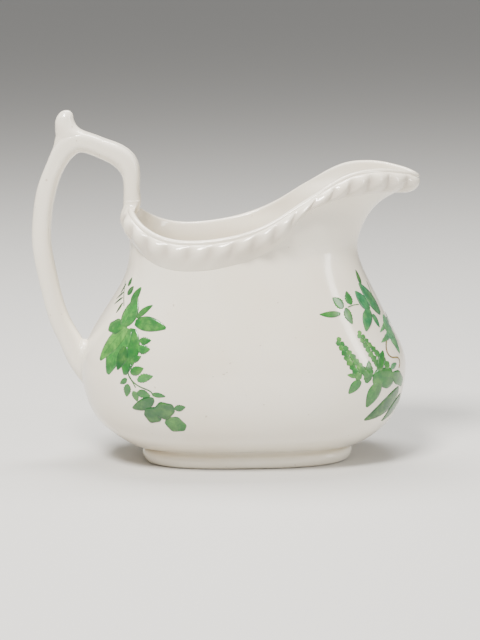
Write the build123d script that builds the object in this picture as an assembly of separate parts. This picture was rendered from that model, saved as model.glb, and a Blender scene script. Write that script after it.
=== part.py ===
from build123d import *
import math
import os

# Porcelain cream jug: an oval slip-cast vessel on a foot ring, with a pouring spout towards +X, a
# gadrooned border under its rim and a loop handle with a thumb rest at -X. Millimetres, +Z up.
# The origin is on the table, under the middle of the whole jug's length.

# Driving dimensions
overall_length = 140.0
spout_reach = 63.8  # from the foot's centre to the tip of the spout
foot_x = overall_length / 2 - spout_reach  # the foot's centre in the jug's own frame
wall = 2.7
foot_half_length = 38.1
foot_half_depth = 23.2
foot_ring_width = 3.6
foot_squareness = 2.75
border_drop = 5.6  # from the rim down to the middle of the gadrooned border
lobe_pitch = 7.9
lobe_radius = 5.6
lobe_sink = 3.0  # how far a lobe's middle lies inside the wall
handle_width = 9.0  # across the jug
groove_depth = 0.7  # of the hollow down the handle's outer face
ridge_growth = 1.15  # how much further out, in proportion, the outer face's two ridges stand
root_flare = 0.3  # how much wider, in proportion, the handle's lower end becomes
root_flare_start = 0.85  # of the way along the handle
slip_thickness = 1.0  # of the clay slip squeezed out round the handle's roots
upper_slip_top = 94.5  # the highest place of the slip round the upper root
lower_slip_x = -54.5  # the furthest out of the slip round the lower root

RING_POINTS = 32
SECTION_POINTS = 20
HANDLE_SECTIONS = 23
ABOVE = 140.0  # clear above the jug
BESIDE = 60.0  # clear of the jug's side

# The vessel's wall, from the underside up. Each station is one ring round the vessel, in a plane that
# holds the Y direction: its height and reach at the handle end, the same at the spout end, its half
# depth across, where it is deepest, and the fullness of the spout end's curve (2 is an ellipse).
STATIONS = [
    # handle end       spout end       half   deepest  spout end's
    # height  reach    height  reach   depth  at x     fullness
    (3.5, -33.5, 3.5, 33.5, 15.5, 0.0, 2.75),
    (5.0, -40.0, 5.0, 39.5, 19.0, 0.0, 2.75),
    (9.0, -46.5, 9.0, 46.5, 27.0, 0.0, 2.6),
    (17.0, -55.0, 17.0, 54.0, 33.5, 0.0, 2.45),
    (26.0, -58.5, 26.0, 57.0, 36.0, -0.5, 2.4),
    (36.5, -59.5, 36.5, 57.5, 36.5, -1.0, 2.35),
    (48.0, -55.0, 48.0, 52.5, 34.5, -1.5, 2.3),
    (59.5, -47.5, 59.5, 47.0, 31.0, -2.0, 2.2),
    (70.5, -42.0, 70.5, 42.0, 27.5, -2.5, 2.1),
    (79.5, -41.0, 78.5, 41.0, 26.5, -2.0, 1.85),
    (85.5, -41.5, 85.5, 43.5, 28.5, -1.0, 1.5),
    (90.0, -41.5, 91.5, 48.0, 29.0, 0.0, 1.25),
    (94.0, -41.5, 96.0, 55.5, 29.5, 1.0, 1.1),
    (98.0, -41.5, 99.0, 61.5, 29.5, 1.5, 1.05),
    (104.0, -41.5, 103.5, 64.0, 29.5, 1.5, 1.05),
    (113.0, -41.5, 112.5, 64.5, 29.5, 1.5, 1.05),
]
side_fullness = 2.45  # of the curve at the jug's sides and round its handle end
point_spread = 0.45  # how much of the spout end's change in fullness also shapes the side before it

# The rim seen from the side, from the handle to the tip of the spout.
RIM_LINE = [
    (-46.0, 96.5),
    (-41.5, 92.5),
    (-38.0, 89.0),
    (-34.0, 86.0),
    (-28.0, 83.5),
    (-16.0, 82.5),
    (-4.0, 84.0),
    (8.0, 88.0),
    (20.0, 95.0),
    (32.0, 102.0),
    (38.0, 104.5),
    (44.0, 105.5),
    (50.0, 105.5),
    (56.0, 104.5),
    (61.0, 103.0),
    (64.5, 101.0),
]

# The handle in the plane of the jug, from the rim over the loop to the belly: its centre line's x and
# z, and its thickness there.
HANDLE_LINE = [
    (-33.5, 86.5, 6.5),
    (-33.5, 92.0, 6.0),
    (-33.5, 97.5, 6.0),
    (-33.5, 102.5, 6.5),
    (-35.0, 107.5, 8.0),
    (-39.0, 111.0, 8.0),
    (-43.5, 113.0, 7.5),
    (-48.5, 115.0, 7.5),
    (-53.0, 115.5, 8.0),
    (-57.0, 113.0, 8.0),
    (-60.0, 108.5, 7.0),
    (-64.0, 99.0, 7.0),
    (-66.0, 89.0, 7.0),
    (-66.5, 79.0, 7.0),
    (-65.0, 68.5, 7.0),
    (-63.0, 58.5, 7.0),
    (-60.0, 49.0, 7.5),
    (-57.5, 44.0, 8.0),
    (-54.0, 37.0, 9.0),
    (-49.0, 30.5, 10.0),
]

# The thumb rest, from inside the handle's corner to its tip: height, middle x, half length, half width.
THUMB_REST = [
    (114.2, -54.6, 6.4, 3.8),
    (118.4, -55.0, 5.3, 4.2),
    (120.3, -55.8, 4.6, 4.3),
    (122.4, -56.7, 3.6, 4.1),
    (124.5, -56.7, 2.9, 3.4),
    (126.2, -56.3, 1.9, 2.2),
    (126.9, -56.2, 0.6, 0.7),
]


def power(value, exponent):
    return math.copysign(abs(value) ** exponent, value)


def ring_point(station, turn):
    """The point of a station's ring at an angle: 0 at the spout, pi at the handle."""
    low_z, low_x, high_z, high_x, half_depth, deepest, end_fullness = station
    reach = deepest - low_x
    side = end = side_fullness
    if math.cos(turn) > 0:
        reach = high_x - deepest
        side = side_fullness - point_spread * (side_fullness - end_fullness)
        end = end_fullness
    x = deepest + reach * power(math.cos(turn), 2 / side)
    y = half_depth * power(math.sin(turn), 2 / end)
    z = low_z + (high_z - low_z) * (x - low_x) / (high_x - low_x)
    return Vector(x + foot_x, y, z)


def closed_face(points):
    """A flat face inside a smooth closed curve, whose points are evenly spaced in its parameter."""
    spacing = [i / len(points) for i in range(len(points) + 1)]
    return Face(Wire([Edge.make_spline(points, periodic=True, parameters=spacing)]))


def ring_face(station):
    return closed_face([ring_point(station, 2 * math.pi * i / RING_POINTS) for i in range(RING_POINTS)])


def inset(profile, thickness):
    """Moves each (reach, height) point of an outward-growing wall profile in along its normal."""
    moved = []
    for i, (reach, height) in enumerate(profile):
        before = profile[max(i - 1, 0)]
        after = profile[min(i + 1, len(profile) - 1)]
        if i == 0:
            before = (reach - 10 * math.copysign(1, reach), height)
        along = Vector(after[0] - before[0], after[1] - before[1]).normalized()
        inward = Vector(-along.Y, along.X) * math.copysign(thickness, reach)
        moved.append((reach + inward.X, height + inward.Y))
    return moved


def inner_stations():
    """The stations of the vessel's inside: the same wall, one wall thickness in."""
    handle_end = inset([(s[1], s[0]) for s in STATIONS], wall)
    spout_end = inset([(s[3], s[2]) for s in STATIONS], wall)
    side = inset([(s[4], (s[0] + s[2]) / 2) for s in STATIONS], wall)
    return [
        (h[1], h[0], s[1], s[0], d[0], *station[5:])
        for h, s, d, station in zip(handle_end, spout_end, side, STATIONS)
    ]


def rim_cutter():
    """Everything above the saddle-shaped rim."""
    line = [Vector(x + foot_x, -BESIDE, z) for x, z in RIM_LINE]
    corners = [line[-1], Vector(line[-1].X, -BESIDE, ABOVE), Vector(line[0].X, -BESIDE, ABOVE), line[0]]
    outline = Wire([Edge.make_spline(line), *Polyline(*corners).edges()])
    return extrude(Face(outline), 2 * BESIDE, dir=(0, 1, 0))


def foot_section(height, growth):
    """The foot's plan, a rounded oblong, at a height and grown by an offset."""
    points = []
    for i in range(RING_POINTS):
        turn = 2 * math.pi * i / RING_POINTS
        x = (foot_half_length + growth) * power(math.cos(turn), 2 / foot_squareness)
        y = (foot_half_depth + growth) * power(math.sin(turn), 2 / foot_squareness)
        points.append(Vector(x + foot_x, y, height))
    return closed_face(points)


def make_foot_ring():
    outside = [(0.0, -0.6), (1.0, -0.1), (3.4, 0.0), (4.2, -0.5), (6.4, -3.0)]
    inside = [(0.0, -0.6 - foot_ring_width), (6.4, -2.0 - foot_ring_width)]
    ring = loft([foot_section(*level) for level in outside])
    ring -= loft([foot_section(*level) for level in inside])
    return ring - outer_form


def border_line():
    """The line round the wall along the middle of the border, starting and ending at the spout."""
    below = outer_form - Pos(0, 0, -border_drop) * above_rim
    return below.faces().sort_by(Axis.Z)[-1].outer_wire()


def make_lobe(place, along):
    """One rounded lobe of the gadroon, sunk in the wall at a place on the border's line."""
    outward = along.cross(Vector(0, 0, 1)).normalized()
    if outward.dot(place - Vector(foot_x, 0, place.Z)) < 0:
        outward = -outward
    return Pos(place - outward * lobe_sink) * Sphere(lobe_radius)


def make_borders():
    """The two halves of the gadrooned border, which meet under the handle and at the spout's tip."""
    line = border_line()
    count = 2 * round(line.length / 2 / lobe_pitch)
    lobes = []
    for i in range(count):
        fraction = (i + 0.5) / count
        lobes.append(make_lobe(line @ fraction, line % fraction))
    beside = Pos(0, BESIDE, 0) * Box(4 * ABOVE, 2 * BESIDE, 4 * ABOVE)
    left = [lobe for lobe in lobes if lobe.center().Y > 0]
    right = [lobe for lobe in lobes if lobe.center().Y < 0]
    left_border = left[0].fuse(*left[1:]) & beside
    right_border = right[0].fuse(*right[1:]) - beside
    return [half - outer_form - above_rim for half in (left_border, right_border)]


def handle_thickness(fraction):
    """The handle's thickness part way along its line."""
    spans = [math.dist(start[:2], end[:2]) for start, end in zip(HANDLE_LINE, HANDLE_LINE[1:])]
    left = fraction * sum(spans)
    for start, end, span in zip(HANDLE_LINE, HANDLE_LINE[1:], spans):
        if left <= span:
            return start[2] + (end[2] - start[2]) * left / span
        left -= span
    return HANDLE_LINE[-1][2]


def handle_section(line, fraction, growth):
    """The handle's section part way along its line, grown by an offset, with a hollow outer face."""
    outward = Vector(0, 1, 0).cross(line % fraction)
    flare = 1 + root_flare * max(fraction - root_flare_start, 0) / (1 - root_flare_start)
    half_thickness = handle_thickness(fraction) / 2 + growth
    half_width = handle_width / 2 * flare + growth
    points = []
    for i in range(SECTION_POINTS):
        turn = 2 * math.pi * i / SECTION_POINTS
        out = half_thickness * power(math.cos(turn), 0.8)
        across = half_width * power(math.sin(turn), 0.8)
        if out > 0 and growth == 0:
            out = ridge_growth * out - groove_depth * math.cos(turn) ** 6
        points.append(line @ fraction + outward * out + Vector(0, across, 0))
    return closed_face(points)


def handle_form(growth=0.0):
    line = Edge.make_spline([Vector(x, 0, z) for x, z, _ in HANDLE_LINE])
    last = HANDLE_SECTIONS - 1
    return loft([handle_section(line, i / last, growth) for i in range(HANDLE_SECTIONS)])


def make_slip_joints(handle):
    """The soft rings of slip round the handle's two roots."""
    squeezed = handle_form(slip_thickness)
    squeezed = squeezed - filled_body - handle
    upper_zone = Pos(-20, 0, upper_slip_top - 10) * Box(40, 40, 20)
    lower_zone = Pos(lower_slip_x + 10, 0, 35) * Box(20, 40, 50)
    return squeezed & upper_zone, squeezed & lower_zone


def make_thumb_rest(handle):
    sections = []
    for height, middle, half_length, half_width in THUMB_REST:
        sections.append(Pos(middle, 0, height) * Ellipse(half_length, half_width))
    return loft(sections) - handle


def write_nodes(nodes):
    os.makedirs("parts", exist_ok=True)
    for name, shape in nodes.items():
        shape.label = name
        export_step(shape, f"parts/{name}.step")


outer_form = loft([ring_face(s) for s in STATIONS])
inner_form = loft([ring_face(s) for s in inner_stations()])
above_rim = rim_cutter()
filled_body = outer_form - above_rim

whole_handle = handle_form()
upper_slip, lower_slip = make_slip_joints(whole_handle)
border_left, border_right = make_borders()
write_nodes(
    {
        "vessel_body": filled_body - inner_form,
        "foot_ring": make_foot_ring(),
        "gadroon_border_left": border_left - whole_handle - upper_slip,
        "gadroon_border_right": border_right - whole_handle - upper_slip,
        "handle_loop": whole_handle - filled_body,
        "thumb_rest": make_thumb_rest(whole_handle),
        "upper_slip_joint": upper_slip,
        "lower_slip_joint": lower_slip,
    }
)
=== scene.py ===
import math
import random

import bpy
import numpy as np
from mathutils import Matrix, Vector
from mathutils.bvhtree import BVHTree


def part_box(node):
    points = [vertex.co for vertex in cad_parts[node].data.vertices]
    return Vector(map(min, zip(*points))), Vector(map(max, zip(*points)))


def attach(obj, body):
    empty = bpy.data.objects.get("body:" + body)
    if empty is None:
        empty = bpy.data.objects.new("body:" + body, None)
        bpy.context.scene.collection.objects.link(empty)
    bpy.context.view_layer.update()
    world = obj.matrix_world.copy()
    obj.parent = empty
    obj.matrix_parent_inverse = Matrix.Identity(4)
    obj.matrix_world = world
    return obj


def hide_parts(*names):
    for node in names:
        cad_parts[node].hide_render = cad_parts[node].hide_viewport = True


# Looks of a porcelain cream jug: glazed white body with a gadrooned border under its rim, a loop
# handle with a thumb rest, an oblong foot ring and green enamel leaf sprays. Shapes are worked out in
# millimetres in the jug's own frame: spout at +X, +Z up, the table at z = 0.

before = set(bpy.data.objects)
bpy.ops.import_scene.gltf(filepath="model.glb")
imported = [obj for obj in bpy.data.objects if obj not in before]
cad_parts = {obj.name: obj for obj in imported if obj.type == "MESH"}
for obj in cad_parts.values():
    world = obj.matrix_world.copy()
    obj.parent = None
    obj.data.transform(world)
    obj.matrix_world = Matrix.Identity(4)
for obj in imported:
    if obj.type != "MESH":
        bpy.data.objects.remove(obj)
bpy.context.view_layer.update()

MM = 0.001
foot_low, foot_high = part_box("foot_ring")
foot_x = (foot_low.x + foot_high.x) / 2 / MM  # the middle of the foot along the jug

# Wall and rim
wall_thickness = 2.7
lip_thickness = 2.3  # the lip is a half circle this wide
lip_blend = 16.0  # the wall thickens from the lip to its full thickness over this depth
side_fullness = 2.45  # of the wall's plan at the sides and round the handle end
point_spread = 0.45  # how much of the spout end's change in fullness also shapes the side before it
tip_rounding = 3.0  # the radius at the tip of the most pointed ring
neck_station = 8  # a station in the neck, below every part of the rim

# The wall from the underside up. Each station is one ring round the vessel: height and reach at the
# handle end, the same at the spout end, half depth across, where it is deepest, and the fullness of
# the spout end's curve (2 is an ellipse). Reaches are from the middle of the foot.
STATIONS = [
    (3.5, -33.5, 3.5, 33.5, 15.5, 0.0, 2.75),
    (5.0, -40.0, 5.0, 39.5, 19.0, 0.0, 2.75),
    (9.0, -46.5, 9.0, 46.5, 27.0, 0.0, 2.6),
    (17.0, -55.0, 17.0, 54.0, 33.5, 0.0, 2.45),
    (26.0, -58.5, 26.0, 57.0, 36.0, -0.5, 2.4),
    (36.5, -59.5, 36.5, 57.5, 36.5, -1.0, 2.35),
    (48.0, -55.0, 48.0, 52.5, 34.5, -1.5, 2.3),
    (59.5, -47.5, 59.5, 47.0, 31.0, -2.0, 2.2),
    (70.5, -42.0, 70.5, 42.0, 27.5, -2.5, 2.1),
    (79.5, -41.0, 78.5, 41.0, 26.5, -2.0, 1.85),
    (85.5, -41.5, 85.5, 43.5, 28.5, -1.0, 1.5),
    (90.0, -41.5, 91.5, 48.0, 29.0, 0.0, 1.25),
    (94.0, -41.5, 96.0, 55.5, 29.5, 1.0, 1.1),
    (98.0, -41.5, 99.0, 61.5, 29.5, 1.5, 1.05),
    (104.0, -41.5, 103.5, 64.0, 29.5, 1.5, 1.05),
    (113.0, -41.5, 112.5, 64.5, 29.5, 1.5, 1.05),
]

# The rim seen from the side, from the handle to the tip of the spout: reach and height.
RIM_LINE = [
    (-46.0, 96.5),
    (-41.5, 92.5),
    (-38.0, 89.0),
    (-34.0, 86.0),
    (-28.0, 83.5),
    (-16.0, 82.5),
    (-4.0, 84.0),
    (8.0, 88.0),
    (20.0, 95.0),
    (32.0, 102.0),
    (38.0, 104.5),
    (44.0, 105.5),
    (50.0, 105.5),
    (56.0, 104.5),
    (61.0, 103.0),
    (64.5, 101.0),
]

# Gadrooned border
border_height = 9.4  # down the wall from the lip
border_swell = 2.0
border_rise, border_fall = 0.6, 0.95  # how the swell grows below the lip and dies away
border_sink = 0.7  # how deep the border's back lies in the wall
lobe_pitch = 7.9
lobe_relief = 1.3
lobe_rise, lobe_fall = 0.8, 2.0
lobe_slant = 0.12  # of a lobe, from its top to its bottom
lobe_slant_centre = 0.2  # of the border's height, where the slant leaves the lobes in place
lobe_middle = 0.55  # the height of a lobe's profile that adds nothing to the swell
valley_softness = 0.03
under_shade = 0.35  # how strong the painted shade is along the border's lower edge
under_rise, under_fall = 1.6, 0.8

# The handle in the plane of the jug, from the rim over the loop to the belly: its centre line's x and
# z, and its thickness there. Its first end narrows away inside the rim.
HANDLE_LINE = [
    (-34.5, 87.5, 2.0),
    (-33.5, 92.0, 6.0),
    (-33.5, 97.5, 6.0),
    (-33.5, 102.5, 6.5),
    (-35.0, 107.5, 8.0),
    (-39.0, 111.0, 8.0),
    (-43.5, 113.0, 7.5),
    (-48.5, 115.0, 7.5),
    (-53.0, 115.5, 8.0),
    (-57.0, 113.0, 8.0),
    (-60.0, 108.5, 7.0),
    (-64.0, 99.0, 7.0),
    (-66.0, 89.0, 7.0),
    (-66.5, 79.0, 7.0),
    (-65.0, 68.5, 7.0),
    (-63.0, 58.5, 7.0),
    (-60.0, 49.0, 7.5),
    (-57.5, 44.0, 8.0),
    (-54.0, 37.0, 9.0),
    (-49.0, 30.5, 10.0),
]
handle_width = 9.0
end_narrowing = 0.4  # the handle's share of its width where its thickness comes down to nothing
handle_roundness = 0.86  # the power that squares the section's sides, 1 for an ellipse
face_flatness = 0.55  # the same power on the outer face
root_flare = 0.3  # how much wider, in proportion, the handle's lower end becomes
root_flare_start = 0.85
groove_depth = 0.6
groove_reach = 1.5  # half the groove's width

# Slip round the handle's roots
upper_joint_height = 94.6  # where the slip round the upper root begins
lower_joint_gap = 2.2  # how near the belly the slip round the lower root begins
slip_lift = 0.02  # of the slip above the handle where it begins
slip_sink = 0.05  # of its edge below the surface that it runs out on
slip_core = 0.6  # how deep its hidden back lies
core_drop = 0.4  # how far down the middle of its back lies, as a share of the slip's drop
slip_pull = 0.5  # how far the slip keeps its direction, as a share of its span

# The thumb rest from its tip down into the handle's corner: height, reach towards the handle's outside,
# reach towards the spout, and half width across.
THUMB_REST = [
    (126.9, -56.7, -55.9, 0.3),
    (126.75, -57.3, -55.2, 1.0),
    (126.3, -58.2, -54.5, 1.7),
    (125.5, -59.0, -54.0, 2.3),
    (124.5, -59.7, -53.8, 2.8),
    (123.2, -60.2, -53.5, 3.1),
    (121.8, -60.4, -52.9, 3.4),
    (120.6, -60.4, -51.9, 3.6),
    (119.6, -60.4, -50.3, 3.8),
    (118.7, -60.3, -48.0, 4.0),
    (117.8, -60.3, -45.9, 4.2),
    (116.6, -60.6, -44.5, 4.3),
    (114.5, -61.1, -45.5, 4.2),
    (112.5, -61.9, -50.0, 4.0),
    (110.8, -62.5, -57.0, 3.4),
]

# Enamel colours of the sprays
TINTS = {
    "deep": (0.008, 0.100, 0.014),
    "mid": (0.018, 0.180, 0.022),
    "fresh": (0.035, 0.235, 0.035),
    "light": (0.085, 0.310, 0.045),
    "cool": (0.028, 0.215, 0.075),
    "pale": (0.080, 0.320, 0.130),
    "dusk": (0.018, 0.060, 0.024),
    "twig": (0.360, 0.160, 0.050),
}

# The sprays, drawn on the jug's side: each leaf's base x and z, tip x and z, width across, outline and
# colour. Later leaves lie over earlier ones.
LEAVES_BY_HANDLE = [
    (-35.5, 66.0, -37.7, 62.3, 0.9, "plain", "dusk"),
    (-36.0, 63.5, -39.5, 60.0, 1.0, "plain", "dusk"),
    (-36.5, 61.5, -40.2, 58.3, 1.0, "plain", "dusk"),
    (-36.5, 60.0, -39.2, 56.0, 1.2, "plain", "dusk"),
    (-34.8, 65.2, -33.2, 68.5, 2.2, "toothed", "deep"),
    (-35.0, 62.5, -32.5, 65.8, 3.0, "toothed", "deep"),
    (-33.5, 60.0, -29.6, 66.0, 3.4, "plain", "mid"),
    (-36.0, 52.5, -41.9, 51.4, 5.6, "round", "mid"),
    (-36.5, 51.8, -31.0, 63.0, 7.2, "plain", "fresh"),
    (-31.5, 55.5, -25.2, 60.5, 2.4, "plain", "mid"),
    (-32.5, 54.2, -20.2, 52.8, 5.6, "plain", "mid"),
    (-32.6, 53.0, -35.8, 35.4, 8.0, "plain", "mid"),
    (-33.5, 52.6, -42.2, 35.0, 8.6, "plain", "fresh"),
    (-34.3, 52.8, -45.2, 39.6, 6.6, "plain", "light"),
    (-35.2, 46.5, -38.5, 37.5, 4.4, "plain", "deep"),
    (-30.4, 48.4, -26.0, 48.7, 3.0, "toothed", "mid"),
    (-31.0, 45.8, -26.4, 45.6, 3.8, "toothed", "fresh"),
    (-33.5, 41.2, -29.6, 43.2, 2.6, "toothed", "mid"),
    (-33.8, 37.2, -28.8, 39.2, 3.6, "toothed", "mid"),
    (-31.4, 34.6, -25.4, 36.6, 3.4, "toothed", "fresh"),
    (-34.9, 35.2, -37.6, 33.0, 2.2, "toothed", "mid"),
    (-34.6, 33.3, -35.3, 28.4, 3.2, "toothed", "mid"),
    (-32.8, 30.9, -31.4, 27.0, 2.8, "toothed", "light"),
    (-31.6, 30.3, -26.6, 29.4, 3.4, "toothed", "mid"),
    (-26.3, 30.0, -21.2, 29.4, 1.9, "plain", "mid"),
    (-25.2, 28.6, -33.6, 24.3, 4.6, "plain", "deep"),
    (-29.2, 23.6, -22.8, 21.0, 6.4, "round", "deep"),
    (-25.8, 23.4, -18.2, 25.4, 6.6, "round", "deep"),
    (-22.0, 20.6, -14.2, 17.6, 6.2, "round", "mid"),
    (-18.5, 25.0, -14.3, 25.8, 2.8, "toothed", "mid"),
]
LEAVES_BY_SPOUT = [
    (47.8, 64.0, 45.8, 69.8, 2.2, "plain", "deep"),
    (50.8, 55.5, 45.3, 63.0, 5.0, "plain", "cool"),
    (55.0, 52.8, 46.6, 65.4, 6.2, "plain", "cool"),
    (50.5, 56.4, 49.0, 49.0, 4.8, "plain", "cool"),
    (51.5, 54.5, 54.2, 49.2, 2.8, "plain", "cool"),
    (44.0, 58.5, 42.3, 63.4, 3.6, "toothed", "mid"),
    (41.2, 57.8, 37.3, 61.8, 4.0, "toothed", "fresh"),
    (41.9, 58.0, 44.3, 52.1, 3.6, "toothed", "mid"),
    (40.4, 56.2, 32.4, 56.6, 2.4, "plain", "mid"),
    (58.6, 47.8, 54.3, 44.6, 3.0, "toothed", "pale"),
    (57.8, 50.2, 54.0, 47.8, 2.8, "toothed", "pale"),
    (55.6, 53.0, 61.4, 38.8, 7.4, "toothed", "pale"),
    (53.4, 35.2, 55.0, 42.2, 3.8, "plain", "mid"),
    (48.8, 31.6, 49.8, 39.8, 4.4, "toothed", "mid"),
    (47.0, 33.2, 42.3, 28.6, 3.6, "plain", "fresh"),
    (45.6, 34.6, 42.0, 35.6, 1.9, "toothed", "light"),
    (57.6, 35.4, 60.0, 36.6, 2.4, "toothed", "pale"),
    (50.8, 33.4, 59.0, 31.2, 8.0, "round", "mid"),
    (54.0, 31.6, 48.6, 22.6, 5.8, "plain", "mid"),
    (58.0, 33.5, 62.2, 28.0, 5.0, "round", "mid"),
    (61.2, 27.8, 47.4, 17.8, 6.4, "plain", "deep"),
    (61.8, 24.4, 54.0, 15.8, 5.0, "plain", "deep"),
]

# Twigs: points along each, its width and colour.
TWIGS_BY_HANDLE = [
    ([(-36.0, 66.5), (-36.3, 62.0), (-36.0, 58.0)], 0.35, "dusk"),
    (
        [(-33.4, 40.0), (-34.4, 37.0), (-33.0, 34.4), (-29.5, 32.2), (-26.2, 30.6), (-25.3, 28.6)],
        0.45,
        "deep",
    ),
    ([(-34.0, 36.0), (-32.8, 33.8), (-31.6, 31.6)], 0.4, "deep"),
    ([(-27.0, 24.6), (-22.0, 26.0), (-17.5, 25.2)], 0.45, "deep"),
]
TWIGS_BY_SPOUT = [
    ([(50.0, 64.6), (51.8, 60.0), (53.4, 56.0), (54.6, 52.6)], 0.4, "mid"),
    ([(42.8, 58.0), (45.0, 58.4), (47.2, 58.2)], 0.35, "mid"),
    (
        [(56.8, 46.0), (56.2, 43.0), (57.0, 40.2), (58.8, 38.8), (60.5, 38.2), (61.2, 36.6), (60.6, 34.0)],
        0.6,
        "twig",
    ),
]

# Spikes of small buds: start, end, how many and how wide.
BUDS_BY_SPOUT = [
    ((39.0, 47.6), (47.6, 34.4), 17, 3.4),
    ((46.4, 49.0), (55.2, 36.4), 17, 3.2),
]
enamel_height = 0.05  # of the lowest leaf above the glaze
enamel_step = 0.012  # from each leaf to one that lies over it
enamel_layers = 9
enamel_edge = 0.1  # how deep a leaf's edge lies in the wall
enamel_back = 0.25  # how deep its back lies
PATCH_COLUMNS = (-1.0, -0.96, -0.6, -0.3, 0.0, 0.3, 0.6, 0.96, 1.0)  # across a leaf, from edge to edge
LEAF_ROWS = {"plain": 15, "toothed": 25, "round": 19}
leaf_sway = 0.05  # how far a leaf bends aside, as a share of its length
leaf_tip_width = 0.02  # the least share of a leaf's width
leaf_teeth = 6
tooth_depth = 0.2
round_wave = 0.1  # how far a round leaf's outline waves
round_waves = 1.6  # along the leaf


# ---------------------------------------------------------------- curves and the wall's surface


def natural_spline(knots, values, at):
    """A natural cubic spline through rows of values at the knots, read at many places."""
    knots = np.asarray(knots, float)
    values = np.asarray(values, float).reshape(len(knots), -1)
    steps = np.diff(knots)
    system = np.eye(len(knots))
    slopes = np.zeros_like(values)
    for i in range(1, len(knots) - 1):
        system[i, i - 1:i + 2] = steps[i - 1], 2 * (steps[i - 1] + steps[i]), steps[i]
        rise = (values[i + 1] - values[i]) / steps[i] - (values[i] - values[i - 1]) / steps[i - 1]
        slopes[i] = 6 * rise
    bends = np.linalg.solve(system, slopes)
    at = np.asarray(at, float)
    span = np.clip(np.searchsorted(knots, at.ravel(), side="right") - 1, 0, len(knots) - 2)
    width = steps[span][:, None]
    right = (at.ravel()[:, None] - knots[span][:, None]) / width
    left = 1 - right
    curve = left * values[span] + right * values[span + 1]
    curve += ((left**3 - left) * bends[span] + (right**3 - right) * bends[span + 1]) * width**2 / 6
    return curve.reshape(at.shape + (values.shape[1],))


def along(points):
    """The running length of a line of points, starting at 0."""
    steps = np.linalg.norm(np.diff(np.asarray(points, float), axis=0), axis=1)
    return np.concatenate([[0.0], np.cumsum(steps)])


def signed_power(value, exponent):
    return np.sign(value) * np.abs(value) ** exponent


def smooth_share(value):
    """0 below 0, 1 above 1, and a smooth step between."""
    share = np.clip(value, 0, 1)
    return share**2 * (3 - 2 * share)


def unit(vectors):
    return vectors / np.linalg.norm(vectors, axis=-1, keepdims=True)


stations = np.array(STATIONS)
level_knots = (along(stations[:, 0:2]) + along(stations[:, 2:4])) / 2
rim_knots, rim_heights = np.array(RIM_LINE).T


def wall_point(turn, level):
    """Points of the wall's outside: turn 0 is the spout, pi the handle; level runs up the wall."""
    turn, level = np.broadcast_arrays(turn, level)
    shape = np.moveaxis(natural_spline(level_knots, stations, level), -1, 0)
    low_z, low_x, high_z, high_x, half_depth, deepest, end_fullness = shape
    cosine, sine = np.cos(turn), np.sin(turn)
    ahead = cosine > 0
    change = np.where(ahead, side_fullness - end_fullness, 0)
    side = side_fullness - point_spread * change
    rounding = tip_rounding * np.clip(change / (side_fullness - 1), 0, 1)
    reach = np.where(ahead, high_x - deepest, deepest - low_x)
    bend = np.abs(cosine) ** (2 / side)
    run = np.sqrt(reach**2 + 2 * reach * rounding) * (1 - bend)
    pointed = high_x + rounding - np.hypot(run, rounding)
    x = np.where(ahead, pointed, deepest - reach * bend)
    y = half_depth * signed_power(sine, 2 / (side_fullness - change))
    z = low_z + (high_z - low_z) * (x - low_x) / (high_x - low_x)
    return np.stack([x + foot_x, y, z], axis=-1)


def wall_normal(turn, level):
    turn_step = 0.004
    level_step = 0.04
    round_wall = wall_point(turn + turn_step, level) - wall_point(turn - turn_step, level)
    up_wall = wall_point(turn, level + level_step) - wall_point(turn, level - level_step)
    return unit(np.cross(round_wall, up_wall))


def rim_level(turn):
    """The level at which the wall reaches the rim's lip, for each turn."""
    halvings = 40
    low = np.full(np.shape(turn), level_knots[neck_station])
    high = np.full(np.shape(turn), level_knots[-1])
    for _ in range(halvings):
        middle = (low + high) / 2
        point = wall_point(turn, middle)
        rim = natural_spline(rim_knots, rim_heights, point[..., 0] - foot_x)[..., 0]
        above = point[..., 2] > rim - lip_thickness / 2
        high = np.where(above, middle, high)
        low = np.where(above, low, middle)
    return (low + high) / 2


def levels_at_depth(turn, depths):
    """The levels that lie given distances down the wall from the lip, and the wall's whole length.

    Both have a row for each turn.
    """
    samples = 400
    levels = rim_level(turn)[:, None] * (1 - np.linspace(0, 1, samples))
    points = wall_point(turn[:, None], levels)
    steps = np.linalg.norm(np.diff(points, axis=1), axis=2)
    lengths = np.concatenate([np.zeros((len(turn), 1)), np.cumsum(steps, axis=1)], axis=1)
    depths = np.broadcast_to(depths, (len(turn), np.shape(depths)[-1]))
    return np.array([np.interp(d, s, v) for d, s, v in zip(depths, lengths, levels)]), lengths[:, -1]


# ---------------------------------------------------------------- meshes


def turned_outward(points, faces):
    """The faces of a closed mesh, all turned over if they face inward."""
    volume = 0.0
    for face in faces:
        for i in range(1, len(face) - 1):
            volume += np.dot(points[face[0]], np.cross(points[face[i]], points[face[i + 1]]))
    return faces if volume > 0 else [face[::-1] for face in faces]


def new_piece(name, points, faces, material):
    points = np.asarray(points, float)
    mesh = bpy.data.meshes.new(name)
    mesh.from_pydata((points * MM).tolist(), [], turned_outward(points, faces))
    mesh.update()
    mesh.polygons.foreach_set("use_smooth", [True] * len(mesh.polygons))
    mesh.materials.append(material)
    piece = bpy.data.objects.new(name, mesh)
    bpy.context.scene.collection.objects.link(piece)
    return piece


def grid_faces(rows, columns, first=0, closed_columns=False, closed_rows=False):
    """Quads over a grid of points stored row by row."""
    faces = []
    for i in range(rows if closed_rows else rows - 1):
        for j in range(columns if closed_columns else columns - 1):
            a = first + i * columns + j
            b = first + i * columns + (j + 1) % columns
            c = first + (i + 1) % rows * columns + (j + 1) % columns
            d = first + (i + 1) % rows * columns + j
            faces.append((a, b, c, d))
    return faces


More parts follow.
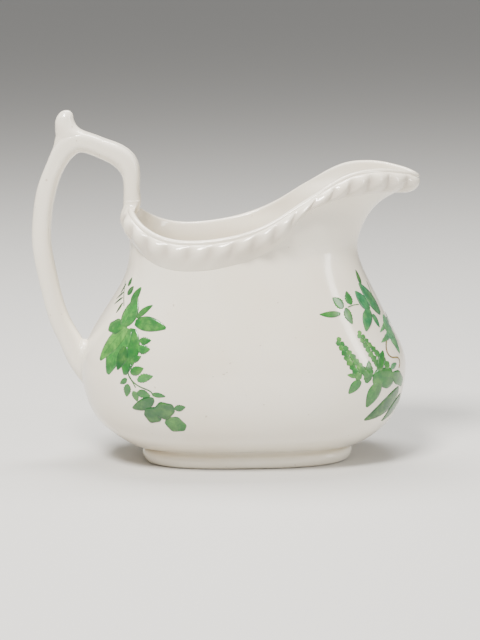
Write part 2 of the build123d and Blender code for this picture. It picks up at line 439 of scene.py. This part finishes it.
def capped_tube(rings):
    """Points and faces of a tube of rings, each end closed by a fan round its middle."""
    rings = np.asarray(rings)
    count, size, _ = rings.shape
    points = list(rings.reshape(-1, 3))
    faces = grid_faces(count, size, closed_columns=True)
    for ring, order in ((0, 1), (count - 1, -1)):
        middle = len(points)
        points.append(rings[ring].mean(axis=0))
        for j in range(size):
            fan = (ring * size + (j + 1) % size, ring * size + j, middle)
            faces.append(fan[::order])
    return points, faces


def nearest(surface, point):
    """The nearest place on a surface to a point, and the surface's direction there."""
    place, direction, _, _ = surface.find_nearest(Vector(point))
    return np.array(place), np.array(direction)


def surface_tree(*pieces):
    """A search tree over the faces of some pieces, in millimetres."""
    points, faces = [], []
    for piece in pieces:
        first = len(points)
        points += [vertex.co / MM for vertex in piece.data.vertices]
        faces += [[first + i for i in face.vertices] for face in piece.data.polygons]
    return BVHTree.FromPolygons(points, faces)


def belongs(piece, node):
    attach(piece, "root")
    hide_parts(node)
    return piece


# ---------------------------------------------------------------- vessel


def make_vessel(material):
    columns = 256
    outer_rows = 130
    lip_steps = 8
    base_shares = (0.25, 0.5, 0.75, 0.92)  # rings between the middle of the base and its edge
    turn = np.arange(columns) * math.tau / columns
    _, length = levels_at_depth(turn, np.zeros((columns, 1)))
    depths = length[:, None] * np.linspace(1, 0, outer_rows)
    levels, _ = levels_at_depth(turn, depths)
    outside = wall_point(turn[:, None], levels)
    normals = wall_normal(turn[:, None], levels)
    thickness = lip_thickness + (wall_thickness - lip_thickness) * smooth_share(depths / lip_blend)
    inside = outside - normals * thickness[..., None]
    inside[..., 1] = np.where(inside[..., 1] * outside[..., 1] > 0, inside[..., 1], 0)
    rings = []
    middle = np.array([foot_x, 0, 0])
    for share in base_shares:
        ring = middle + (outside[:, 0] - middle) * share
        ring[:, 2] = outside[:, 0, 2]
        rings.append(ring)
    rings += [outside[:, i] for i in range(outer_rows)]
    lip_middle = (outside[:, -1] + inside[:, -1]) / 2
    up = unit(outside[:, -1] - outside[:, -2])
    for i in range(1, lip_steps):
        bend = i * math.pi / lip_steps
        lean = normals[:, -1] * math.cos(bend) + up * math.sin(bend)
        rings.append(lip_middle + lean * lip_thickness / 2)
    rings += [inside[:, i] for i in range(outer_rows - 1, -1, -1)]
    floor = inside[:, 0]
    for share in reversed(base_shares):
        ring = middle + (floor - middle) * share
        ring[:, 2] = floor[:, 2]
        rings.append(ring)
    points, faces = capped_tube(rings)
    return belongs(new_piece("body", points, faces, material), "vessel_body")


# ---------------------------------------------------------------- border


def steep_then_soft(share, rise, fall):
    """A profile that rises at once from 0 to 1 and then dies away gently to 0."""
    peak = rise / (rise + fall)
    height = peak**rise * (1 - peak) ** fall
    return share**rise * (1 - share) ** fall / height


def border_grid(side):
    """The border's swelling surface over half the jug, the wall under it, and where shade is painted on it.
    """
    samples = 900
    columns_per_lobe = 22
    rows = 30
    turn = np.linspace(math.pi, 0, samples)
    middle_level, _ = levels_at_depth(turn, np.full((samples, 1), border_height / 2))
    middle_line = wall_point(turn[:, None], middle_level)[:, 0]
    lengths = along(middle_line)
    lobes = round(lengths[-1] / lobe_pitch)
    place = np.linspace(0, lobes, lobes * columns_per_lobe + 1)
    turn = np.interp(place, lengths / lengths[-1] * lobes, turn)
    share = np.linspace(0, 1, rows)
    levels, _ = levels_at_depth(turn, border_height * share)
    wall = wall_point(turn[:, None], levels)
    normal = wall_normal(turn[:, None], levels)
    swell = border_swell * steep_then_soft(share, border_rise, border_fall)
    weight = steep_then_soft(share, lobe_rise, lobe_fall)
    phase = place[:, None] + lobe_slant * (share - lobe_slant_centre)
    lobe = np.sqrt(np.cos(math.pi * (phase - 0.5)) ** 2 + valley_softness)
    raised = swell + lobe_relief * (lobe - lobe_middle) * weight
    front = wall + normal * raised[..., None]
    back = wall - normal * border_sink
    if side < 0:
        front, back = front * (1, -1, 1), back * (1, -1, 1)
    # Painted shade: greyer glaze in the lobe valleys and along the border's lower edge, where shade falls.
    shade_amount = (1 - lobe) * weight + under_shade * steep_then_soft(share, under_rise, under_fall)
    return front, back, shade_amount


def make_border(name, side, node, material):
    front, back, shade_amount = border_grid(side)
    columns, rows, _ = front.shape
    loop = np.concatenate([front, back[:, ::-1]], axis=1)
    size = 2 * rows
    faces = grid_faces(columns, size, closed_columns=True)
    faces.append(tuple(range(size - 1, -1, -1)))
    faces.append(tuple((columns - 1) * size + i for i in range(size)))
    piece = new_piece(name, loop.reshape(-1, 3), faces, material)
    painted_shade = piece.data.attributes.new("painted_shade", "FLOAT", "POINT")
    painted_shade.data.foreach_set("value", np.concatenate([shade_amount, shade_amount[:, ::-1]], axis=1).ravel())
    return belongs(piece, node)


# ---------------------------------------------------------------- handle


handle_lengths = along([(x, z) for x, z, _ in HANDLE_LINE])


def handle_rings(fractions, around=56):
    """Rings of points round the handle at fractions of its line, with a hollow outer face."""
    tangent_step = 0.05
    fractions = np.asarray(fractions, float)
    at = fractions * handle_lengths[-1]
    x, z, thickness = natural_spline(handle_lengths, HANDLE_LINE, at).T
    ahead = natural_spline(handle_lengths, HANDLE_LINE, at + tangent_step)
    tangent = unit(np.stack([ahead[:, 0] - x, ahead[:, 1] - z], axis=1))
    outward = np.stack([tangent[:, 1], np.zeros(len(at)), -tangent[:, 0]], axis=1)
    flare = 1 + root_flare * smooth_share((fractions - root_flare_start) / (1 - root_flare_start))
    width = handle_width * np.minimum(flare, end_narrowing + thickness / handle_width)
    turn = np.arange(around) * math.tau / around
    cosine = np.cos(turn)
    across = width[:, None] / 2 * signed_power(np.sin(turn), handle_roundness)
    face = signed_power(cosine, np.where(cosine > 0, face_flatness, handle_roundness))
    hollow = groove_depth * np.exp(-((across / groove_reach) ** 2))
    out = thickness[:, None] / 2 * face - np.where(cosine > 0, hollow, 0)
    centre = np.stack([x, np.zeros(len(at)), z], axis=1)
    rings = centre[:, None] + outward[:, None] * out[..., None]
    rings[..., 1] += across
    return rings


def make_handle(material):
    rings = 240
    points, faces = capped_tube(handle_rings(np.linspace(0, 1, rings)))
    return belongs(new_piece("handle", points, faces, material), "handle_loop")


def make_thumb_rest(material):
    rings = 60
    around = 48
    rows = np.array(THUMB_REST)
    lengths = along(rows[:, :3])
    sections = natural_spline(lengths, rows, np.linspace(0, lengths[-1], rings))
    z, left, right, half_width = sections.T
    turn = np.arange(around) * math.tau / around
    x = ((left + right) / 2)[:, None] + ((right - left) / 2)[:, None] * np.cos(turn)
    y = half_width[:, None] * np.sin(turn)
    points, faces = capped_tube(np.stack([x, y, np.broadcast_to(z[:, None], x.shape)], axis=2))
    return belongs(new_piece("thumb_rest_soft", points, faces, material), "thumb_rest")


# ---------------------------------------------------------------- slip joints


joint_points = 72  # round each joint


def make_fillet(name, tops, downs, drops, spreads, surface, material, node):
    """A soft ring of slip from a loop of points on the handle, along given directions, to a surface."""
    steps = 15
    middle = tops.mean(axis=0)
    loops = []
    for top, down, drop, spread in zip(tops, downs, drops, spreads):
        outward = top - middle
        outward = unit(outward - down * outward.dot(down))
        foot, normal = nearest(surface, top + down * drop + outward * spread)
        back = top - foot
        back = unit(back - normal * back.dot(normal))
        pull = np.linalg.norm(top - foot) * slip_pull
        start = top + outward * slip_lift
        near_top = start + down * pull
        near_foot = foot + back * pull
        share = np.linspace(0, 1, steps)[:, None]
        curve = (1 - share) ** 3 * start + 3 * (1 - share) ** 2 * share * near_top
        curve += 3 * (1 - share) * share**2 * near_foot + share**3 * foot
        curve[-1] -= normal * slip_sink
        top_core = top - outward * slip_core
        core = [foot - normal * slip_core, top_core + down * drop * core_drop, top_core]
        loops.append(np.concatenate([curve, core]))
    loops = np.array(loops)
    faces = grid_faces(len(loops), loops.shape[1], closed_columns=True, closed_rows=True)
    return belongs(new_piece(name, loops.reshape(-1, 3), faces, material), node)


def make_upper_joint(surface, material):
    """The slip starts level round the handle and runs down and out onto the rim."""
    drop_in_line, drop_beside = 8.0, 4.6  # in the jug's middle plane, and at the handle's sides
    spread_in_line, spread_beside = 0.8, 3.2
    fractions = np.linspace(0.02, 0.12, 60)  # the part of the handle next to the rim
    heights = handle_rings(fractions).mean(axis=1)[:, 2]
    start = np.interp(upper_joint_height, heights, fractions)
    tops = handle_rings([start], joint_points)[0]
    downs = np.broadcast_to([0.0, 0.0, -1.0], tops.shape)
    across = np.abs(tops[:, 1]) / np.abs(tops[:, 1]).max()
    drops = drop_in_line + (drop_beside - drop_in_line) * across
    spreads = spread_in_line + (spread_beside - spread_in_line) * across
    return make_fillet("upper_joint", tops, downs, drops, spreads, surface, material, "upper_slip_joint")


def make_lower_joint(surface, material):
    """The slip starts on each line along the handle where it comes near the belly."""
    smoothings = 6
    fraction_step = 0.004
    fractions = np.linspace(0.8, 0.985, 80)  # the part of the handle next to the belly
    rings = handle_rings(fractions, joint_points)
    starts = []
    for line in range(joint_points):
        gaps = [surface.find_nearest(Vector(point))[3] for point in rings[:, line]]
        starts.append(fractions[int(np.argmax(np.array(gaps) < lower_joint_gap))])
    starts = np.array(starts)
    for _ in range(smoothings):
        starts = (np.roll(starts, 1) + 2 * starts + np.roll(starts, -1)) / 4
    tops, nexts = [], []
    for line, start in enumerate(starts):
        here, ahead = handle_rings([start, start + fraction_step], joint_points)[:, line]
        tops.append(here)
        nexts.append(ahead)
    tops, downs = np.array(tops), unit(np.array(nexts) - np.array(tops))
    drops = np.full(len(tops), lower_joint_gap * 1.3)
    spreads = np.full(len(tops), lower_joint_gap * 0.8)
    return make_fillet("lower_joint", tops, downs, drops, spreads, surface, material, "lower_slip_joint")


# ---------------------------------------------------------------- foot ring


foot_half_length = 38.1
foot_half_depth = 23.2
foot_fullness = 2.75

# The foot ring's section: offset from the foot's widest outline, and height.
FOOT_SECTION = [
    (-3.8, 0.0),
    (-2.3, 0.0),
    (-1.2, 0.15),
    (-0.5, 0.9),
    (0.0, 2.4),
    (-0.15, 3.5),
    (-0.7, 4.2),
    (-1.7, 4.6),
    (-2.6, 5.3),
    (-3.2, 6.8),
    (-5.4, 6.2),
    (-5.6, 3.2),
    (-5.0, 0.7),
]


def make_foot(material):
    around = 240
    section_points = 65
    knots = np.arange(len(FOOT_SECTION) + 1)
    places = np.linspace(0, knots[-1], section_points + 1)[:-1]
    offset, height = natural_spline(knots, FOOT_SECTION + FOOT_SECTION[:1], places).T
    turn = np.arange(around)[:, None] * math.tau / around
    x = foot_x + (foot_half_length + offset) * signed_power(np.cos(turn), 2 / foot_fullness)
    y = (foot_half_depth + offset) * signed_power(np.sin(turn), 2 / foot_fullness)
    rings = np.stack([x, y, np.broadcast_to(height, x.shape)], axis=2)
    faces = grid_faces(around, section_points, closed_columns=True, closed_rows=True)
    return belongs(new_piece("foot", rings.reshape(-1, 3), faces, material), "foot_ring")


# ---------------------------------------------------------------- painted sprays


def on_side(x, z, side, surface):
    """The place on the wall straight in from one side of the jug, or else on the outline beside it."""
    clear_of_side = 60
    place = surface.ray_cast(Vector((x, clear_of_side * side, z)), Vector((0, -side, 0)))[0]
    return nearest(surface, (x, side, z))[0] if place is None else np.array(place)


class Spray:
    """Thin patches of enamel on the wall, gathered into one piece."""

    def __init__(self, surface, side):
        self.surface = surface
        self.side = side
        self.points = []
        self.faces = []
        self.tints = []
        self.marks = []  # how far along its leaf each point is, and how far across
        self.count = 0

    def add_patch(self, middles, across, half_widths, tint):
        """A strip along a line of middles, which follows the wall and has its edges sunk in it."""
        height = enamel_height + enamel_step * (self.count % enamel_layers)
        self.count += 1
        rows = len(middles)
        size = len(PATCH_COLUMNS)
        front, back = [], []
        for row, (middle, width) in enumerate(zip(middles, half_widths)):
            for column in PATCH_COLUMNS:
                place, normal = nearest(self.surface, middle + across * width * column)
                inner = abs(column) < 1 and 0 < row < rows - 1
                front.append(place + normal * (height if inner else -enamel_edge))
                back.append(place - normal * enamel_back)
                self.marks.append((row / (rows - 1), column, 0.0))
        first = len(self.points)
        self.points += front + back
        self.marks += self.marks[-rows * size:]
        self.tints += [(*TINTS[tint], 1.0)] * (2 * rows * size)
        faces = grid_faces(rows, size, first)
        faces += [face[::-1] for face in grid_faces(rows, size, first + rows * size)]
        rim = list(range(size))
        rim += [i * size + size - 1 for i in range(1, rows)]
        rim += [(rows - 1) * size + i for i in range(size - 2, -1, -1)]
        rim += [i * size for i in range(rows - 2, 0, -1)]
        for a, b in zip(rim, rim[1:] + rim[:1]):
            faces.append((first + b, first + a, first + rows * size + a, first + rows * size + b))
        self.faces += turned_outward(self.points, faces)

    def outside(self, point, normal):
        """The place on the wall's outside that a point lies under."""
        clear_of_wall = 10
        place = self.surface.ray_cast(Vector(point + normal * clear_of_wall), Vector(-normal))[0]
        return point if place is None else np.array(place)

    def add_leaf(self, base, tip, width, outline, tint):
        """A leaf from its base to its tip, widest a little before its middle."""
        leaf = tip - base
        normal = unit(nearest(self.surface, base)[1] + nearest(self.surface, tip)[1])
        across = unit(np.cross(leaf, normal))
        share = np.linspace(0, 1, LEAF_ROWS[outline])
        sway = random.uniform(-leaf_sway, leaf_sway) * np.linalg.norm(leaf) * np.sin(math.pi * share)
        middles = base + leaf * share[:, None] + across * sway[:, None]
        middles = [self.outside(middle, normal) for middle in middles]
        shape = np.sin(math.pi * share**0.8) ** 0.85
        if outline == "toothed":
            shape *= 1 - tooth_depth * (share * leaf_teeth % 1)
        if outline == "round":
            wave = np.sin(round_waves * math.tau * share + random.uniform(0, math.tau))
            shape = np.sin(math.pi * share) ** 0.5 * (1 + round_wave * wave)
        self.add_patch(middles, across, np.maximum(shape, leaf_tip_width) * width / 2, tint)

    def add_twig(self, line, width, tint):
        """A curved twig, made of short straight-sided lengths."""
        step = 3
        samples_per_point = 6
        lengths = along(line)
        at = np.linspace(0, lengths[-1], samples_per_point * len(line))
        spots = natural_spline(lengths, line, at)
        middles = np.array([on_side(x, z, self.side, self.surface) for x, z in spots])
        for i in range(0, len(middles) - step, step):
            stretch = middles[i:i + step + 1]
            normal = nearest(self.surface, stretch[1])[1]
            across = unit(np.cross(stretch[-1] - stretch[0], normal))
            stretch = extended(stretch)
            self.add_patch(stretch, across, np.full(len(stretch), width / 2), tint)

    def add_buds(self, start, end, count, width):
        """Round buds to both sides of a line in turn, larger and further out towards its end."""
        bud_tints = ("light", "fresh", "mid")
        first_spread, spread_growth = 0.1, 0.25
        first_size, size_growth = 0.55, 0.35
        rise_of_spread = 0.5
        half_run, half_rise = 0.3, 0.4  # of a bud from its middle to its base, in its own size
        for i in range(count):
            share = i / (count - 1)
            spread = width * (first_spread + spread_growth * share) * (-1) ** i
            x = start[0] + (end[0] - start[0]) * share + spread
            z = start[1] + (end[1] - start[1]) * share + spread * rise_of_spread
            size = width * (first_size + size_growth * share)
            base = on_side(x - size * half_run, z + size * half_rise, self.side, self.surface)
            tip = on_side(x + size * half_run, z - size * half_rise, self.side, self.surface)
            self.add_leaf(base, tip, size, "round", bud_tints[i % len(bud_tints)])

    def make(self, name, material):
        piece = new_piece(name, self.points, self.faces, material)
        tint = piece.data.color_attributes.new("tint", "FLOAT_COLOR", "POINT")
        tint.data.foreach_set("color", np.array(self.tints).ravel())
        mark = piece.data.attributes.new("leaf", "FLOAT_VECTOR", "POINT")
        mark.data.foreach_set("vector", np.array(self.marks, float).ravel())
        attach(piece, "root")
        return piece


def extended(line):
    """A short line with its ends drawn out a little, so that the lengths of a twig overlap."""
    share_added = 0.03
    step = (line[-1] - line[0]) * share_added
    before = [line[0] - 2 * step, line[0] - step]
    after = [line[-1] + step, line[-1] + 2 * step]
    return np.concatenate([before, line[1:-1], after])


def make_spray(name, side, leaves, twigs, buds, surface, material):
    spray = Spray(surface, side)
    for line, width, tint in twigs:
        spray.add_twig(line, width, tint)
    for start, end, count, width in buds:
        spray.add_buds(start, end, count, width)
    for base_x, base_z, tip_x, tip_z, width, outline, tint in leaves:
        base = on_side(base_x, base_z, side, surface)
        tip = on_side(tip_x, tip_z, side, surface)
        spray.add_leaf(base, tip, width, outline, tint)
    return spray.make(name, material)


# ---------------------------------------------------------------- materials


def new_material(name):
    """A material, with its nodes, its links and its shader."""
    material = bpy.data.materials.new(name)
    material.use_nodes = True
    nodes = material.node_tree.nodes
    return material, nodes, material.node_tree.links, nodes["Principled BSDF"]


def colour_ramp(nodes, stops):
    ramp = nodes.new("ShaderNodeValToRGB")
    while len(ramp.color_ramp.elements) < len(stops):
        ramp.color_ramp.elements.new(0.5)
    for element, (place, colour) in zip(ramp.color_ramp.elements, stops):
        element.position = place
        element.color = (*colour, 1.0)
    return ramp


def mixed(nodes, links, factor, first, second):
    """A linked colour, mixed with one given as numbers by a linked factor."""
    node = nodes.new("ShaderNodeMixRGB")
    links.new(factor, node.inputs["Fac"])
    links.new(first, node.inputs["Color1"])
    node.inputs["Color2"].default_value = (*second, 1.0)
    return node.outputs["Color"]


def mapped(nodes, links, value, old, new):
    """A linked value, brought from one range into another."""
    node = nodes.new("ShaderNodeMapRange")
    links.new(value, node.inputs["Value"])
    node.inputs["From Min"].default_value, node.inputs["From Max"].default_value = old
    node.inputs["To Min"].default_value, node.inputs["To Max"].default_value = new
    return node.outputs["Result"]


def attribute(nodes, name):
    node = nodes.new("ShaderNodeAttribute")
    node.attribute_name = name
    return node


def noise(nodes, links, coordinates, scale, detail=3.0):
    texture = nodes.new("ShaderNodeTexNoise")
    texture.inputs["Scale"].default_value = scale
    texture.inputs["Detail"].default_value = detail
    links.new(coordinates, texture.inputs["Vector"])
    return texture.outputs["Fac"]


def add_glaze(nodes, links, shader):
    """An even, faintly wavy ivory glaze with a few tiny specks, greyed by painted shade in the border's lobe
    valleys and under its lower edge.
    """
    deep_ivory, light_ivory = (0.860, 0.780, 0.640), (0.895, 0.845, 0.735)
    painted_shade_colour, speck_colour = (0.47, 0.40, 0.33), (0.46, 0.36, 0.25)
    most_painted_shade = 0.6
    coordinates = nodes.new("ShaderNodeTexCoord").outputs["Object"]
    ivory = colour_ramp(nodes, [(0.3, deep_ivory), (0.7, light_ivory)])
    links.new(noise(nodes, links, coordinates, scale=28.0), ivory.inputs["Fac"])
    # Painted shade: the glaze is greyed in the border's lobe valleys and under its lower edge, where shade
    # falls.
    shade_amount = mapped(nodes, links, attribute(nodes, "painted_shade").outputs["Fac"], (0, 1), (0, most_painted_shade))
    colour = mixed(nodes, links, shade_amount, ivory.outputs["Color"], painted_shade_colour)
    specks = colour_ramp(nodes, [(0.765, (0, 0, 0)), (0.80, (0.55, 0.55, 0.55))])
    links.new(noise(nodes, links, coordinates, scale=620.0, detail=1.0), specks.inputs["Fac"])
    colour = mixed(nodes, links, specks.outputs["Color"], colour, speck_colour)
    links.new(colour, shader.inputs["Base Color"])
    gloss = mapped(nodes, links, noise(nodes, links, coordinates, scale=60.0), (0, 1), (0.10, 0.20))
    links.new(gloss, shader.inputs["Roughness"])
    wave = nodes.new("ShaderNodeBump")
    wave.inputs["Strength"].default_value = 0.12
    wave.inputs["Distance"].default_value = 1.2 * MM
    links.new(noise(nodes, links, coordinates, scale=75.0, detail=2.0), wave.inputs["Height"])
    links.new(wave.outputs["Normal"], shader.inputs["Normal"])
    shader.inputs["Coat Weight"].default_value = 0.35
    shader.inputs["Coat Roughness"].default_value = 0.05
    return coordinates, colour


def porcelain_material():
    material, nodes, links, shader = new_material("porcelain_glaze")
    add_glaze(nodes, links, shader)
    return material


def foot_material():
    """The same glaze, wiped off the resting face, which is matt and a little darker."""
    material, nodes, links, shader = new_material("bare_foot")
    bare_colour = (0.62, 0.56, 0.47)
    wiped_heights = (0.2 * MM, 0.5 * MM)
    coordinates, glaze_colour = add_glaze(nodes, links, shader)
    place = nodes.new("ShaderNodeSeparateXYZ")
    links.new(coordinates, place.inputs["Vector"])
    wiped = mapped(nodes, links, place.outputs["Z"], wiped_heights, (1, 0))
    links.new(mixed(nodes, links, wiped, glaze_colour, bare_colour), shader.inputs["Base Color"])
    links.new(mapped(nodes, links, wiped, (0, 1), (0.15, 0.75)), shader.inputs["Roughness"])
    return material


def enamel_material():
    """Watercolour-like enamel: each leaf's own tint, lighter washes, a dark outline and fine veins."""
    wash_colour, shade_colour = (0.20, 0.42, 0.09), (0.015, 0.085, 0.030)
    vein_colour, outline_colour = (0.020, 0.110, 0.035), (0.012, 0.060, 0.022)
    vein_count, vein_slant, vein_width, vein_strength = 7.0, 0.22, 0.13, 0.38
    midrib_width = 0.055
    material, nodes, links, shader = new_material("leaf_enamel")
    parts = nodes.new("ShaderNodeSeparateXYZ")
    links.new(attribute(nodes, "leaf").outputs["Vector"], parts.inputs["Vector"])
    coordinates = nodes.new("ShaderNodeTexCoord").outputs["Object"]

    def maths(operation, *values):
        node = nodes.new("ShaderNodeMath")
        node.operation = operation
        for socket, value in zip(node.inputs, values):
            if isinstance(value, float):
                socket.default_value = value
            else:
                links.new(value, socket)
        return node.outputs["Value"]

    wash = colour_ramp(nodes, [(0.40, (0, 0, 0)), (0.64, (0.34, 0.34, 0.34))])
    links.new(noise(nodes, links, coordinates, scale=260.0, detail=4.0), wash.inputs["Fac"])
    tint = attribute(nodes, "tint").outputs["Color"]
    colour = mixed(nodes, links, wash.outputs["Color"], tint, wash_colour)
    shade = colour_ramp(nodes, [(0.42, (0.5, 0.5, 0.5)), (0.60, (0, 0, 0))])
    links.new(noise(nodes, links, coordinates, scale=420.0, detail=5.0), shade.inputs["Fac"])
    colour = mixed(nodes, links, shade.outputs["Color"], colour, shade_colour)
    aside = maths("ABSOLUTE", parts.outputs["Y"])
    slanted = maths("SUBTRACT", parts.outputs["X"], maths("MULTIPLY", aside, vein_slant))
    side_vein = maths("LESS_THAN", maths("FRACT", maths("MULTIPLY", slanted, vein_count)), vein_width)
    midrib = maths("LESS_THAN", aside, midrib_width)
    veins = maths("MULTIPLY", maths("MAXIMUM", side_vein, midrib), vein_strength)
    colour = mixed(nodes, links, veins, colour, vein_colour)
    edge = colour_ramp(nodes, [(0.84, (0, 0, 0)), (0.97, (0.75, 0.75, 0.75))])
    links.new(aside, edge.inputs["Fac"])
    colour = mixed(nodes, links, edge.outputs["Color"], colour, outline_colour)
    links.new(colour, shader.inputs["Base Color"])
    shader.inputs["Roughness"].default_value = 0.24
    shader.inputs["Coat Weight"].default_value = 0.3
    shader.inputs["Coat Roughness"].default_value = 0.08
    return material


# ---------------------------------------------------------------- stage, light and camera


def make_stage():
    """A plain pale floor, in metres, and an even studio background."""
    reach = 6
    corners = [(-reach, -reach, 0), (reach, -reach, 0), (reach, reach, 0), (-reach, reach, 0)]
    mesh = bpy.data.meshes.new("floor")
    mesh.from_pydata(corners, [], [(0, 1, 2, 3)])
    floor = bpy.data.objects.new("floor", mesh)
    bpy.context.scene.collection.objects.link(floor)
    material, _, _, shader = new_material("floor")
    shader.inputs["Base Color"].default_value = (0.60, 0.59, 0.57, 1)
    shader.inputs["Roughness"].default_value = 0.7
    mesh.materials.append(material)
    world = bpy.data.worlds.new("studio")
    bpy.context.scene.world = world
    world.use_nodes = True
    background = world.node_tree.nodes["Background"]
    background.inputs["Color"].default_value = (0.86, 0.86, 0.85, 1)
    background.inputs["Strength"].default_value = 0.42


def area_light(name, place, target, size, power, colour):
    """A soft rectangular light at a place, in metres, turned towards a target."""
    light = bpy.data.lights.new(name, "AREA")
    light.shape = "RECTANGLE"
    light.size, light.size_y = size
    light.energy = power
    light.color = colour
    lamp = bpy.data.objects.new(name, light)
    lamp.location = place
    lamp.rotation_euler = (Vector(target) - Vector(place)).to_track_quat("-Z", "Y").to_euler()
    bpy.context.scene.collection.objects.link(lamp)


def make_lights():
    aim = (0, 0, 0.06)
    area_light("key", (-0.25, -0.5, 0.9), aim, (0.3, 0.25), 22, (1.0, 0.97, 0.92))
    area_light("side", (0.8, -0.35, 0.35), aim, (0.12, 0.5), 3, (1.0, 0.98, 0.95))
    area_light("top", (0.0, 0.2, 0.8), aim, (0.5, 0.3), 10, (1.0, 0.99, 0.96))


camera_target = Vector((0.0, 0.0, 0.0635))  # half the jug's height
camera_distance = 0.8016
camera_azimuth = math.radians(1.5)  # towards the spout
camera_elevation = math.radians(9.4)
camera_roll = math.radians(-1.1)
camera_lens = 125.0
camera_shift = (0.0201, -0.0576)


def make_camera():
    lean = Vector((
        math.sin(camera_azimuth) * math.cos(camera_elevation),
        -math.cos(camera_azimuth) * math.cos(camera_elevation),
        math.sin(camera_elevation),
    ))
    data = bpy.data.cameras.new("camera")
    data.lens = camera_lens
    data.shift_x, data.shift_y = camera_shift
    camera = bpy.data.objects.new("camera", data)
    camera.location = camera_target + lean * camera_distance
    camera.rotation_euler = (-lean).to_track_quat("-Z", "Y").to_euler()
    camera.rotation_euler.rotate_axis("Z", camera_roll)
    bpy.context.scene.collection.objects.link(camera)
    bpy.context.scene.camera = camera


# ---------------------------------------------------------------- the jug


make_camera()
make_stage()
make_lights()
random.seed(11)
glaze = porcelain_material()
body = make_vessel(glaze)
border_left = make_border("border_left", 1, "gadroon_border_left", glaze)
border_right = make_border("border_right", -1, "gadroon_border_right", glaze)
make_handle(glaze)
make_thumb_rest(glaze)
make_upper_joint(surface_tree(body, border_left, border_right), glaze)
make_lower_joint(surface_tree(body), glaze)
make_foot(foot_material())
enamel = enamel_material()
wall = surface_tree(body)
for side_name, side in (("right", -1), ("left", 1)):
    make_spray("spray_handle_" + side_name, side, LEAVES_BY_HANDLE, TWIGS_BY_HANDLE, [], wall, enamel)
    make_spray("spray_spout_" + side_name, side, LEAVES_BY_SPOUT, TWIGS_BY_SPOUT, BUDS_BY_SPOUT, wall, enamel)
